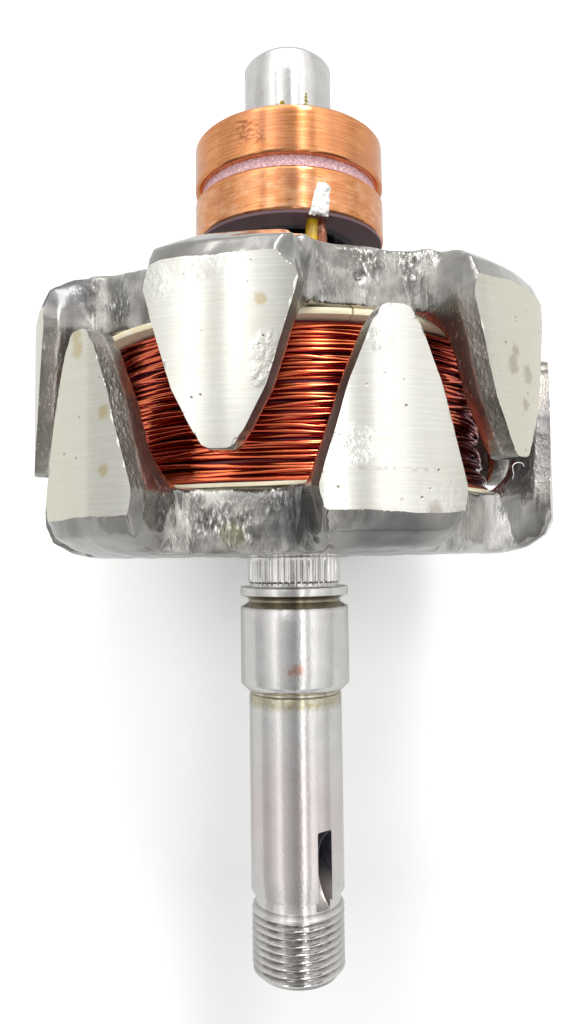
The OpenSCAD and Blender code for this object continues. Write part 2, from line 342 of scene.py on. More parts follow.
# The claws' flanks, which face round the shaft, keep a fine grain under a browner film, painted
# darker towards the winding as painted shade and with a pale line along the parting ridge as a
# painted highlight
across = add(tree, "VectorMath", {0: facing, 1: where}, operation="CROSS_PRODUCT")
across = add(tree, "Math", {0: share_of(tree, across, "Y"), 1: out}, operation="DIVIDE")
flank = add(tree, "ValToRGB", {0: across}, stops=((0.45, 0.0), (0.95, 1.0)))
flank = meeting(tree, flank, ring_mark(tree, where, pole_middle, 12, 4))
grain = grains(tree, where, 0.5, 3, stretch=(1, 2.5, 1), rough=0.6)
stray = add(tree, "Math", {0: grains(tree, where, 4, 2), 1: 1.2 * MM, 2: out},
            operation="MULTIPLY_ADD")
stray = add(tree, "MapRange", {"Value": stray, "From Min": 40 * MM, "From Max": 47 * MM})
# Painted shade towards the winding and a painted highlight along the parting ridge
flank_film_painted_light = add(tree, "ValToRGB", {0: stray}, stops=(
    (0.15, "#4C5050"), (0.5, "#64645F"), (0.6, "#928A80"), (0.65, "#EEE8DE"), (0.7, "#988F84"),
    (0.85, "#857C72"), (1.0, "#5C544C")))
specks = add(tree, "ValToRGB", {0: grain}, stops=((0.58, 0.0), (0.68, 0.55)))
# The poles' flat ends keep the thickest coat
ends = add(tree, "ValToRGB", {0: share_of(tree, facing, "Y")}, stops=((0.88, 0.0), (0.98, 0.75)))
# One paler patch in a valley, a painted highlight; darker patches in some corners and at one claw's
# root, painted shade that also dims their reflections; and one olive spot
painted_highlight_patch = patches(tree, where, DISC_R, 0.3, (62, 21.5, 9))
corner = meeting(tree, patches(tree, where, 43, 0.2, (-59, 61, 7)),
                 patches(tree, where, 42, 0.2, (75, 34, 14)), how="MAXIMUM")
painted_shade_patches = meeting(tree, corner, patches(tree, where, DISC_R, 0.2, (4, 22, 7)),
                patches(tree, where, 43, 0.2, (DRIVE_CLAW, 19.5, 8)), how="MAXIMUM")
olive = patches(tree, where, DISC_R, 0.5, (-12.2, 19.8, 2.5))
tint = layered(tree, shoulder, (hollow, 1, layered(tree, calm, (gathered, 1, crisp))))
tint = layered(tree, tint, (flank, 0.8, layered(tree, flank_film_painted_light, (specks, 1, "#E6E2DA"))),
               (ends, 1, "#4C4A48"), (painted_highlight_patch, 0.6, "#D4D2CD"), (painted_shade_patches, 0.75, "#3C3C40"),
               (olive, 0.5, "#7F8256"))
tree.links.new(tint, shader.inputs["Base Color"])
flat = meeting(tree, flank, corner, how="MAXIMUM")
for socket, gloss, dull in (("Roughness", 0.13, 0.12), ("Coat Roughness", 0.04, 0.4)):
    rough = add(tree, "Math", {0: flat, 1: dull, 2: gloss}, operation="MULTIPLY_ADD")
    tree.links.new(rough, shader.inputs[socket])
wet = add(tree, "Math", {0: gathered, 1: 0.75, 2: 0.25}, operation="MULTIPLY_ADD")
bumped(tree, shader, (meeting(tree, wrinkle, wet, hollow), 0.28),
       (grains(tree, where, 4, 1), 0.25), (meeting(tree, grain, flank), 0.13),
       (grains(tree, where, 0.5, 1), 0.01))

# Mild steel, turned on a lathe: near white where it faces the light, with fine rings across the
# claws, pits left by the forging and a film of yellow varnish left in patches. The rings are
# drawn 0.25 to 0.35 mm wide, coarser than the tool's feed, so that they show.
claw_steel, tree, shader, where = material("turned_steel", metallic=1.0, roughness=0.13)
film = grains(tree, where, 6, 4, stops=((0.5, 0.0), (0.75, 0.55)))
lines = grains(tree, where, 0.35, 3, stretch=(25, 1, 25), stops=((0.42, 0.3), (0.62, 0.0)))
# The claws to either side are tinted greyer and yellower: partly the film they still have, partly
# painted shade for the duller light they throw back
side_film_and_shade = add(tree, "MapRange", {"Value": share_of(tree, where, "X"), "From Min": 20 * MM,
                                "From Max": 38 * MM, "To Max": 0.6})
stains = patches(tree, where, ROTOR_R, 0.5, (-41.1, 49.2, 1.6), (-40.6, 47.2, 1.8),
                 (-33.2, 37.2, 1.5), (-33.2, 29, 1.2), (-3, 50.4, 1.1), (80, 30, 2))
browned = patches(tree, where, ROTOR_R, 0.7, (47, 44.5, 1.9), (52.7, 43.8, 1.8),
                  (47.9, 46.6, 1.3), (51.3, 38.9, 1.2), (26, 22.5, 1.5))
# One broken score round a claw
scored = meeting(tree, ring_mark(tree, where, 27.9, 0.12, 0.3),
                 patches(tree, where, ROTOR_R, 0.2, (DRIVE_CLAW, 27.9, 8)),
                 grains(tree, where, 0.7, 2, stops=((0.45, 0.0), (0.6, 0.4))))
tint = layered(tree, "#E2E1DA", (film, 1, "#D8D4C2"), (lines, 1, "#CBCAC2"),
               (side_film_and_shade, 1, "#E2DCC2"), (stains, 0.55, "#BFA86A"), (browned, 0.45, "#92796A"),
               (scored, 1, "#A8A294"))
# Pits about 2 mm apart, left out in places, and patches that the tool only grazed
pits = add(tree, "TexVoronoi", {"Vector": where, "Scale": 1 / (1.9 * MM)}, out="Distance")
pits = add(tree, "ValToRGB", {0: pits}, stops=((0.07, 0.0), (0.13, 1.0)))
spared = grains(tree, where, 5, 2, stops=((0.5, 1.0), (0.58, 0.0)))
sound = meeting(tree, pits, spared, how="MAXIMUM")
roughed = patches(tree, where, ROTOR_R, 0.2, (-14, 57, 4), (-22, 54, 3), (49, 45, 9),
                  (-48, 32, 4), (-2, 44, 2.5), (-3, 40.5, 2), (28, 24, 4), (12, 31, 3),
                  (17, 45, 2))
tree.links.new(layered(tree, "#8A8478", (sound, 1, tint)), shader.inputs["Base Color"])
bumped(tree, shader, (grains(tree, where, 0.25, 2, stretch=(40, 1, 40)), 0.001),
       (grains(tree, where, 1.4, 3, stretch=(1, 2, 1)), 0.005), (sound, 0.06),
       (meeting(tree, grains(tree, where, 0.8, 2), roughed), 0.08))

# Carbon steel, ground and turned: a satin gloss with fine rings, a rust spot on the bearing seat
# and a yellow stain at the neck. The rings are drawn 0.2 mm wide, coarser than the grit's marks.
shaft_steel, tree, shader, where = material("ground_steel", metallic=1.0, roughness=0.15)
satin = grains(tree, where, 4, 4, stops=((0.3, "#CECCCA"), (0.7, "#DAD8D6")))
worn = grains(tree, where, 0.7, 3, stretch=(1, 2.5, 1), stops=((0.6, 0.0), (0.7, 0.35)))
flush = patches(tree, where, PULLEY_R, 0.2, (-4, -30, 16))
rust = patches(tree, where, SEAT_R, 0.5, (4.5, -3, 1.3), (-3, -3.4, 0.7))
neck = meeting(tree, ring_mark(tree, where, pulley_end - 0.7, 0.7, 1.2),
               grains(tree, where, 0.8, 3))
waist = ring_mark(tree, where, seat_end + 0.7, 0.5, 0.9)
drips = patches(tree, where, JOURNAL_R, 0.5, (25, 99.6, 0.5), (25.7, 100.4, 0.45),
                (25.7, 101.1, 0.4), (26, 101.7, 0.3), (-5.5, 99.6, 0.7), (-12, 99.3, 0.5))
# The thread's roots are darker and browner
root = add(tree, "MapRange", {"Value": distance_out(tree, where), "From Min": 7.6 * MM,
                              "From Max": 8.2 * MM, "To Min": 0.8, "To Max": 0.0})
root = meeting(tree, root, ring_mark(tree, where, (thread_start + thread_end) / 2, 6.5, 0.1))
tint = layered(tree, satin, (worn, 1, "#B5AFA8"), (flush, 0.5, "#D2C4C4"),
               (rust, 0.6, "#C08060"), (neck, 1, "#9C8F4E"), (waist, 0.85, "#7D7258"),
               (drips, 1, "#8C7A22"), (root, 1, "#6E6560"))
tree.links.new(tint, shader.inputs["Base Color"])
bumped(tree, shader, (grains(tree, where, 0.2, 1, stretch=(40, 1, 40)), 0.002),
       (grains(tree, where, 0.4, 3, stretch=(1, 1.6, 1)), 0.018),
       (grains(tree, where, 2.5, 2), 0.003))

# The same steel, milled: painted darker grey inside the keyway as painted shade, and paler where
# the slot runs out as painted light
keyway_shaded_steel, tree, shader, where = material("keyway_steel_painted_shade", metallic=0.9, roughness=0.3)
along = add(tree, "SeparateXYZ", {0: where}, out="Y")
runout_painted_light = add(tree, "MapRange", {"Value": along, "From Min": -41.5 * MM, "From Max": -38 * MM,
                               "To Min": 0.75, "To Max": 0.0})
keyway_painted_shade = grains(tree, where, 1.2, 3, stops=((0.35, "#64646E"), (0.7, "#86858C")))
tree.links.new(layered(tree, keyway_painted_shade, (runout_painted_light, 1, "#C9C3BE")), shader.inputs["Base Color"])
bumped(tree, shader, (grains(tree, where, 0.5, 2), 0.01))

# Copper, turned and brushed: orange with long fine scratches round it and darker nicks. The
# scratches are drawn 0.3 mm wide, coarser than the emery's marks, so that they show.
ring_copper, tree, shader, where = material("brushed_copper", metallic=1.0, roughness=0.12)
scratch = grains(tree, where, 0.3, 3, stretch=(16, 1, 16))
worn = grains(tree, where, 5, 3)
brushed = add(tree, "ValToRGB", {0: scratch}, stops=((0.3, "#D2844F"), (0.7, "#EFA873")))
dulled = add(tree, "ValToRGB", {0: worn}, stops=((0.45, 0.0), (0.7, 0.5)))
nick = grains(tree, where, 0.5, 4, stretch=(3.5, 0.7, 3.5), rough=0.65,
              stops=((0.63, 0.0), (0.68, 0.6)))
# The inner ring is rubbed bright along its middle, and the outer one chipped in one place
rubbed = meeting(tree, ring_mark(tree, where, 78.2, 3.6, 0.8),
                 grains(tree, where, 1.3, 3, stretch=(2, 1, 2), stops=((0.45, 0.0), (0.65, 0.5))))
chips = patches(tree, where, RING_R, 0.8, (-26, 90.8, 1.9), (-20, 90.3, 1.9), (-23, 88.9, 1.8),
                (-15, 88.6, 1.6))
chips = meeting(tree, chips, grains(tree, where, 0.5, 2, stretch=(2, 0.7, 2),
                                    stops=((0.45, 0.0), (0.6, 0.7))))
tint = layered(tree, brushed, (dulled, 1, "#C9876A"), (nick, 1, "#8E5434"),
               (rubbed, 1, "#FBC49C"), (chips, 1, "#7A4630"))
tree.links.new(tint, shader.inputs["Base Color"])
bumped(tree, shader, (scratch, 0.013), (worn, 0.02))

# Enamelled copper wire: copper seen through a clear red-orange enamel with a wet gloss.
# Its sides, which face along the shaft into the gaps between turns, are painted darker and purpler
# as painted shade
enamel, tree, shader, where = material("enamelled_copper", metallic=1.0, roughness=0.1,
                                       coat_weight=1.0, coat_roughness=0.05,
                                       specular_tint=colour("#B06090"))
facing = add(tree, "TexCoord", out="Normal")
# Painted shade: darker and purpler as the wire turns to face along the shaft
shade = add(tree, "ValToRGB", {0: share_of(tree, facing, "Y")}, stops=(
    (0.1, "#FF8844"), (0.5, "#F25A30"), (0.8, "#C43840"), (0.97, "#7C2454")))
tone = grains(tree, where, 4, 2, stretch=(6, 1, 6), stops=((0.4, 0.0), (0.7, 0.4)))
tree.links.new(layered(tree, shade, (tone, 1, "#CC3C30")), shader.inputs["Base Color"])

# Deeper turns of the same wire, in a shaded copy of its material: painted shade, darker and duller,
# so that it looks almost black between the outer ones
shaded_deep_enamel, tree, shader, where = material("buried_enamelled_copper", metallic=0.45,
                                            roughness=0.4, coat_weight=1.0, coat_roughness=0.2)
tint = grains(tree, where, 0.7, 1, stretch=(20, 1, 20),
              stops=((0.35, "#7E2448"), (0.65, "#B44038")))
tree.links.new(tint, shader.inputs["Base Color"])

# Pressed board: cream, dull and a little fibrous
card, tree, shader, where = material("pressed_board", roughness=0.6)
fibre = grains(tree, where, 0.6, 3, stretch=(5, 1, 5))
tint = add(tree, "ValToRGB", {0: fibre}, stops=((0.3, "#F6E6BE"), (0.7, "#FFF8E0")))
tree.links.new(tint, shader.inputs["Base Color"])
bumped(tree, shader, (fibre, 0.03))

# Moulded phenolic with a pale filler: mauve-brown and dull. In the groove between the rings it is
# speckled pale pink, partly the filler's colour and partly painted light against the groove's
# shade, and round the narrow gap under the inner one it is painted nearly black as painted shade
phenolic, tree, shader, where = material("moulded_phenolic", roughness=0.45)
speck = grains(tree, where, 0.4, 3)
# Pale pink speckle for the groove, partly painted light
filler_and_painted_light = add(tree, "ValToRGB", {0: speck}, stops=(
    (0.35, "#C89AA2"), (0.55, "#E8BFC6"), (0.7, "#FFF2F4")))
groove = ring_mark(tree, where, (ring_high + outer_low) / 2, (outer_low - ring_high) / 2, 0.3)
# Painted shade: a nearly black ring round the narrow gap under the inner ring
recess_painted_shade = add(tree, "MapRange", {"Value": distance_out(tree, where), "From Min": 12.1 * MM,
                             "From Max": 12.9 * MM, "To Min": 1.0, "To Max": 0.0})
recess_painted_shade = meeting(tree, recess_painted_shade, ring_mark(tree, where, 74, 3, 0.1))
tint = layered(tree, "#70525A", (groove, 1, filler_and_painted_light), (recess_painted_shade, 1, "#1E1A26"))
tree.links.new(tint, shader.inputs["Base Color"])
bumped(tree, shader, (speck, 0.04))

# Varnished glass-fibre sleeving: translucent yellow with a wet gloss
sleeving, tree, shader, where = material("varnished_sleeving", roughness=0.25, coat_weight=0.8,
                                         coat_roughness=0.08)
weave = grains(tree, where, 0.9, 2, stretch=(1, 3, 1))
tint = add(tree, "ValToRGB", {0: weave}, stops=((0.35, "#B07C08"), (0.65, "#E8C01E")))
tree.links.new(tint, shader.inputs["Base Color"])
bumped(tree, shader, (weave, 0.08))

# The lead's own wire, enamelled brown and streaked with varnish
lead_enamel, tree, shader, where = material("brown_enamelled_lead", metallic=0.6, roughness=0.25,
                                            coat_weight=0.8, coat_roughness=0.06)
streak = grains(tree, where, 0.8, 3, stretch=(1, 2, 1))
tint = add(tree, "ValToRGB", {0: streak}, stops=(
    (0.35, "#5E2A16"), (0.6, "#B0663C"), (0.7, "#E0B9A0")))
tree.links.new(tint, shader.inputs["Base Color"])
bumped(tree, shader, (streak, 0.06))

# Cotton lint: white and dull
fluff, tree, shader, where = material("cotton_lint", roughness=0.8)
tint = grains(tree, where, 0.5, 1, stops=((0.3, "#E8E4E0"), (0.7, "#FFFFFF")))
tree.links.new(tint, shader.inputs["Base Color"])

# Tin solder with white flux left on it: pale, lumpy, half dull
solder, tree, shader, where = material("soft_solder", metallic=0.35, roughness=0.35)
flux = grains(tree, where, 0.7, 3)
tint = add(tree, "ValToRGB", {0: flux}, stops=((0.35, "#D6D3CD"), (0.55, "#FFFEFB")))
tree.links.new(tint, shader.inputs["Base Color"])
bumped(tree, shader, (flux, 0.05))


# ---------------------------------------------------------------- shaft

SHAFT_SEGMENTS = 352
thread_pitch, thread_depth = 1.3, 0.74
knurl_ribs = 48
knurl_start = collar_end + 0.9

shaft_outline = (
    # The chamfered end and the thread's crest
    [(0, thread_start), (4.5, thread_start), (7.0, thread_start), (7.25, thread_start + 0.1),
     (THREAD_R - 0.05, thread_start + 1.15), (THREAD_R, thread_start + 1.25)]
    + rows(thread_start + 1.25, thread_end - 0.6, 0.1, THREAD_R)
    # The relief behind the thread and the pulley seat
    + [(THREAD_R, thread_end - 0.6), (7.8, thread_end), (7.8, pulley_start - 0.1),
       (7.9, pulley_start), (8.2, pulley_start), (8.42, pulley_start + 0.08),
       (PULLEY_R, pulley_start + 0.3)]
    + rows(pulley_start + 0.3, pulley_end - 0.3, 4.5, PULLEY_R)
    # The neck, the bearing seat, the waist behind it and the collar
    + [(PULLEY_R, pulley_end - 0.35), (8.4, pulley_end - 0.1), (8.2, pulley_end),
       (8.1, pulley_end + 0.1), (8.1, seat_start - 0.05), (8.5, seat_start),
       (8.65, seat_start + 0.05), (9.95, seat_start + 1.3), (SEAT_R, seat_start + 1.45),
       (SEAT_R, -2), (SEAT_R, 3), (SEAT_R, seat_end - 0.3), (9.92, seat_end - 0.08),
       (9.7, seat_end), (8.75, seat_end + 0.55), (8.5, seat_end + 0.8), (8.5, seat_end + 1.2),
       (8.7, seat_end + 1.45), (9.7, collar_start), (9.93, collar_start + 0.08),
       (SEAT_R, collar_start + 0.3), (SEAT_R, collar_end - 0.3), (9.93, collar_end - 0.08),
       (9.7, collar_end), (8.2, collar_end), (8.2, collar_end + 0.55),
       (8.45, collar_end + 0.75), (KNURL_R, knurl_start)]
    # The knurled band, and the plain length inside the poles and the hub
    + rows(knurl_start, drive_face - 0.6, 0.5, KNURL_R)
    + [(KNURL_R, drive_face - 0.6), (KNURL_R, 40), (KNURL_R, outer_high - 1),
       (KNURL_R, outer_high), (JOURNAL_R, outer_high + 0.05)]
    # The journal, its chamfer and its centre hole
    + rows(outer_high + 0.05, journal_end - 1.3, 4, JOURNAL_R)
    + [(JOURNAL_R, journal_end - 1.25), (8.22, journal_end - 1.05), (7.2, journal_end - 0.06),
       (7.0, journal_end), (2.6, journal_end), (2.2, journal_end - 0.4), (0, journal_end - 2.2)])

bm = bmesh.new()
turn(bm, shaft_outline, segments=SHAFT_SEGMENTS)
for vert in bm.verts:
    x, y, z = vert.co / MM
    radius, angle = hypot(x, z), atan2(x, z)
    grown = radius
    if thread_start < y < thread_end - 0.3 and radius > 7.4:
        # One right-handed groove with a rounded root, running out at both ends
        phase = ((y - thread_start) / thread_pitch - angle / (2 * pi)) % 1
        groove = max(0.0, 1 - abs(phase - 0.5) / 0.44)
        groove = groove ** 0.8 * thread_depth
        run_out = min(1.0, (thread_end - 0.3 - y) / 1.2)
        grown = min(radius, THREAD_R - groove * run_out)
        grown += 0.03 * noise.noise(Vector((x * 0.9, y * 3, z * 0.9)))
    elif collar_end + 0.5 < y < drive_face + 1:
        # Ribs rolled along the shaft, some deeper than others
        wave = cos(knurl_ribs * angle)
        uneven = 0.75 + 0.5 * noise.noise(Vector((sin(angle) * 3, 0.15 * y, cos(angle) * 3)))
        grown = min(radius, KNURL_R - 0.3 * uneven * max(0.0, 0.6 - wave))
    vert.co.x *= grown / max(radius, 1e-6)
    vert.co.z *= grown / max(radius, 1e-6)
sharpen(bm, 42)
shaft = piece("turned_shaft", bm, shaft_steel)

# The half-round keyway, cut by a disc cutter and open at the thread's end
key_angle, key_depth, cutter_r, key_w = 36.6, 4.3, 8.0, 3.0
bm = bmesh.new()
bmesh.ops.create_cone(bm, cap_ends=True, segments=96, radius1=cutter_r * MM,
                      radius2=cutter_r * MM, depth=key_w * MM)
rims = [edge for edge in bm.edges if abs(edge.verts[0].co.z - edge.verts[1].co.z) < 1e-6]
bmesh.ops.bevel(bm, geom=rims, offset=0.3 * MM, segments=3, profile=0.5, affect="EDGES",
                material=-1)
bmesh.ops.rotate(bm, verts=bm.verts, matrix=Matrix.Rotation(radians(90 + key_angle), 3, "Y"))
bmesh.ops.translate(bm, verts=bm.verts,
                    vec=place(key_angle, PULLEY_R + cutter_r - key_depth, pulley_start + 5))
# The cutter leaves the keyway's walls in the steel with the painted shade
cut(shaft, piece("key_cutter", bm, keyway_shaded_steel))
keep(shaft, "shaft_steel", "shaft")


# ---------------------------------------------------------------- claw poles

# The finest lump that the forgings keep, which holds each under 200,000 triangles
GRAIN = 0.46
# Left on the forgings' outsides for the lathe
STOCK = 1.1
# Radii of the claws' undersides and of the bend from the disc into the claws
CLAW_UNDER_R, BEND_R = 38, 43


def nearest_claw(angle, first):
    """The nearest claw's middle, in degrees, for an angle round the shaft."""
    return first + round((angle - first) * CLAWS / 360) * 360 / CLAWS


def rough_forging(name, node, face, way):
    """A CAD pole with stock on it for turning, its corners rounded as a die leaves them."""
    bm = bmesh.new()
    bm.from_mesh(cad[node].data)
    bmesh.ops.remove_doubles(bm, verts=bm.verts, dist=1e-6)
    for vert in bm.verts:
        radius = hypot(vert.co.x, vert.co.z) / MM
        if radius > ROTOR_R - 0.1:
            vert.co.x *= 1 + STOCK / radius
            vert.co.z *= 1 + STOCK / radius
            if (vert.co.y / MM - face) * way < 6.2:
                vert.co.y += 2 * STOCK * way * MM
    rough = piece(name, bm)
    step = rough.modifiers.new("forged", "REMESH")
    step.mode = "VOXEL"
    step.voxel_size = GRAIN * MM
    settle(rough)
    bm = bmesh.new()
    bm.from_mesh(rough.data)
    bpy.data.objects.remove(rough)
    # One pass all over, then eight that leave the claws' outer parts crisp
    for reach_in in [60] + [44] * 8:
        inside = [v for v in bm.verts if hypot(v.co.x, v.co.z) < reach_in * MM]
        bmesh.ops.smooth_vert(bm, verts=inside, factor=0.5, use_axis_x=True, use_axis_y=True,
                              use_axis_z=True)
    bm.normal_update()
    return bm


def forging(name, node, face, way, first, reach, pushes=()):
    """A forged pole: the CAD node's shape, rounded and lumpy, then turned true over its claws.
    face is its outer face's station, way the claws' direction, first a claw's angle and reach
    the claws' length. pushes are (spot, width, shift) dents and swells."""
    bm = rough_forging(name, node, face, way)
    for vert in bm.verts:
        x, y, z = vert.co / MM
        radius, angle, depth = hypot(x, z), degrees(atan2(x, z)), (y - face) * way
        normal = vert.normal.copy()
        if radius < SEAT_R + 0.5:
            continue
        if radius > CLAW_UNDER_R and depth > 3:
            # The die's parting line stands out along both flanks of a claw
            middle = nearest_claw(angle, first)
            across = radius * radians(angle - middle)
            inwards = ROTOR_R - radius
            fade = min(1.0, (depth - 3) / 5)
            ridge = 0.45 * max(0.0, 1 - abs(inwards - 2.3) / 2.3) - 0.12 * max(0.0, inwards - 3.6)
            side = place(middle + 90, 1, 0)
            vert.co += (side * (1 if across > 0 else -1) * ridge * fade
                        * min(1.0, abs(across) / 2.5))
            # The tips are cut off square
            vert.co += side * across * 0.3 * min(1.0, max(0.0, (depth - reach + 1.8) / 1.6))
        # A fillet fills the corner under each claw's root
        into = (depth - DISC_T) / 7
        if radius < BEND_R and 0 < into < 1 and normal.x * x + normal.z * z < 0:
            vert.co -= place(angle, 1.7, 0) * (1 - into) ** 2
        # Lumps of the forging, and finer ones of the varnish that ran over it below the claws
        spot = Vector((x, y, z))
        lumps = 0.2 * noise.noise(spot / 8) + 0.05 * noise.noise(spot / 2.6)
        lumps += min(1.0, max(0.0, 42 - radius) / 3) * 0.14 * noise.noise(spot / 3)
        vert.co += normal * lumps * MM
        for where, wide, shift in pushes:
            away = (vert.co - where).length / MM
            vert.co += shift * max(0.0, 1 - (away / wide) ** 2)
    made = piece(name, bm, varnish, claw_steel)

    # The lathe leaves the claws' outsides round and sharp-edged
    bm = bmesh.new()
    low, high = sorted((face - 2 * way, face + 36 * way))
    turned_r = ROTOR_R - 0.01
    turn(bm, [(0, low), (turned_r, low)] + rows(low, high, 1.2, turned_r)
         + [(turned_r, high), (0, high)], segments=480)
    cut(made, piece("turning", bm), "INTERSECT")
    bm = bmesh.new()
    bm.from_mesh(made.data)
    for side in bm.faces:
        middle = side.calc_center_median() / MM
        side.material_index = 1 if hypot(middle.x, middle.z) > ROTOR_R - 0.03 else 0
        side.smooth = True
    for edge in bm.edges:
        if len(edge.link_faces) == 2:
            edge.smooth = edge.link_faces[0].material_index == edge.link_faces[1].material_index
    bm.to_mesh(made.data)
    bm.free()
    keep(made, "varnished_forging", node)


forging("drive_end_forging", "drive_end_pole", drive_face, 1, DRIVE_CLAW, 33.4)
forging("ring_end_forging", "ring_end_pole", ring_face, -1, RING_CLAW, 31.6,
        [(place(17.9, DISC_R, 57.4), 0.9, place(17.9, -0.9, 0)),
         (place(5, 46.8, 57), 4.2, place(5, -2.2, 0)),
         (place(-56, 38, 62), 13, place(0, 0, 1.3)),
         (place(-36, 38, 62), 15, place(0, 0, -0.8)),
         (place(-67.5, 45, 63), 8, place(-67.5, -0.8, -0.3))])

# A curl of lint stuck in the varnish at a claw's tip
keep(strand("lint_curl", fluff,
            [(47.6, 45.2, 27.6), (46.8, 46, 28.2), (45.2, ROTOR_R - 0.1, 28.9),
             (46.1, ROTOR_R - 0.1, 29.8), (48.5, ROTOR_R - 0.1, 30.1),
             (49.8, ROTOR_R - 0.1, 29.9), (49.9, ROTOR_R - 0.1, 29.5)],
            0.12, 1, kind="NURBS", caps=False), "varnished_forging")


# ---------------------------------------------------------------- bobbin and winding

BOARD_BORE, BOARD_R = 22, 36.4
WOUND_R, WIRE_T = 33.05, 0.76
SPLIT_ANGLE = 16.2


def flange(name, radius, low, high, lobes=0.0, first=0.0):
    """A pressed-board ring, a little wavy at its rim, with a lobe at each of one pole's claws."""
    flat_r, wave = 30, 0.3
    bm = bmesh.new()
    turn(bm, [(BOARD_BORE, low), (flat_r, low), (radius, low), (radius, high), (flat_r, high),
              (BOARD_BORE, high)], closed=True, segments=240, ease=0.12)
    for vert in bm.verts:
        x, y, z = vert.co / MM
        here, angle = hypot(x, z), atan2(x, z)
        rim = max(0.0, (here - flat_r) / 6)
        vert.co.y += rim * wave * noise.noise(Vector((2 * sin(angle), 2 * cos(angle), low))) * MM
        if here > flat_r + 2:
            grown = 1 + lobes * max(0.0, cos(CLAWS * (angle - radians(first)))) ** 0.5 / here
            vert.co.x *= grown
            vert.co.z *= grown
    sharpen(bm, 40)
    return piece(name, bm, card)


upper = flange("ring_end_board", BOARD_R, coil_end, coil_end + 1)
# The split in the board's rim
bm = bmesh.new()
bmesh.ops.create_cube(bm, size=1)
bmesh.ops.scale(bm, verts=bm.verts, vec=(0.3 * MM, 4 * MM, 5 * MM))
bmesh.ops.rotate(bm, verts=bm.verts, matrix=Matrix.Rotation(radians(SPLIT_ANGLE), 3, "Y"))
bmesh.ops.translate(bm, verts=bm.verts, vec=place(SPLIT_ANGLE, BOARD_R, coil_end + 0.5))
cut(upper, piece("slit", bm))
keep(upper, "bobbin_card", "ring_end_flange")
lower = flange("drive_end_board", DISC_R, coil_start - 0.6, coil_start, lobes=2.4,
               first=DRIVE_CLAW)
keep(lower, "bobbin_card", "drive_end_flange")

# The tube under the wire, and the buried turns as one body in the darker shaded copy of the wire's
# material, painted shade
bm = bmesh.new()
turn(bm, [(23.2, coil_start), (WOUND_R, coil_start), (WOUND_R, coil_end), (23.2, coil_end)],
     closed=True, segments=128)
sharpen(bm, 40)
buried = piece("buried_turns", bm, shaded_deep_enamel)


def winding(name, radius, turns, step, start, stray, lift, seed):
    """One wire wound along the bobbin, straying from its row as hand-fed wire does."""
    steps, heap, heap_length = 90, 1.5, 7
    points = []
    for k in range(turns * steps + 1):
        angle, row = 360 * k / steps, k / steps
        here = Vector((cos(radians(angle)) * 1.2, sin(radians(angle)) * 1.2, row * 0.9 + seed))
        along = start + row * step + stray * min(1.0, 0.2 + row / 4) * noise.noise(here)
        along = min(max(along, coil_start + WIRE_T / 2), coil_end - WIRE_T / 2)
        out = radius + lift * noise.noise(here * 1.7 + Vector((9, 0, 0)))
        # The wire is heaped a little at the drive end
        out += heap * max(0.0, 1 - (along - coil_start) / heap_length)
        points.append((angle, out, along))
    return strand(name, enamel, points, WIRE_T, 2)


lower_turns = winding("lower_turns", 33.35, 31, 0.79, coil_start - 0.4, 0.7, 0.12, 3)
upper_turns = winding("upper_turns", 33.9, 22, 1.12, coil_start - 0.7, 2.2, 0.25, 11)
for made in (buried, lower_turns, upper_turns):
    keep(made, "enamelled_wire", "field_winding")


# ---------------------------------------------------------------- slip rings, hub and leads

def slip_ring(name, node, low, high, seed):
    """A copper ring turned true, its edges broken and worn a little unevenly."""
    bm = bmesh.new()
    turn(bm, [(RING_BORE, low), (RING_R - 0.35, low), (RING_R, low + 0.35)]
         + rows(low + 0.35, high - 0.4, 1.0, RING_R)
         + [(RING_R, high - 0.4), (RING_R - 0.4, high), (RING_BORE, high)], closed=True,
         segments=240, ease=0.08)
    for vert in bm.verts:
        x, y, z = vert.co / MM
        if hypot(x, z) > RING_R - 1:
            vert.co.y += 0.06 * noise.noise(Vector((x, z, seed)) / 2) * MM
    sharpen(bm, 30)
    keep(piece(name, bm, ring_copper), "ring_copper", node)


slip_ring("inner_copper_ring", "inner_slip_ring", ring_low, ring_high, 5)
slip_ring("outer_copper_ring", "outer_slip_ring", outer_low, outer_high, 17)

# The hub, with its lip under the inner ring and the band between the two
HUB_BORE, BAND_R = 8.62, 16.5
bm = bmesh.new()
turn(bm, [(HUB_BORE, ring_low + 1.5), (11, ring_low + 1.5), (11, ring_low - 0.5),
          (17.5, ring_low - 0.5), (17.55, ring_low), (RING_BORE, ring_low),
          (RING_BORE, ring_high), (BAND_R, ring_high), (BAND_R + 0.05, ring_high + 0.6),
          (BAND_R, outer_low - 0.6), (BAND_R, outer_low), (RING_BORE, outer_low),
          (RING_BORE, outer_high), (15, outer_high + 0.02), (HUB_BORE, outer_high)],
     closed=True, segments=180)
sharpen(bm, 30)
keep(piece("moulded_hub", bm, phenolic), "hub_moulding", "slip_ring_hub")


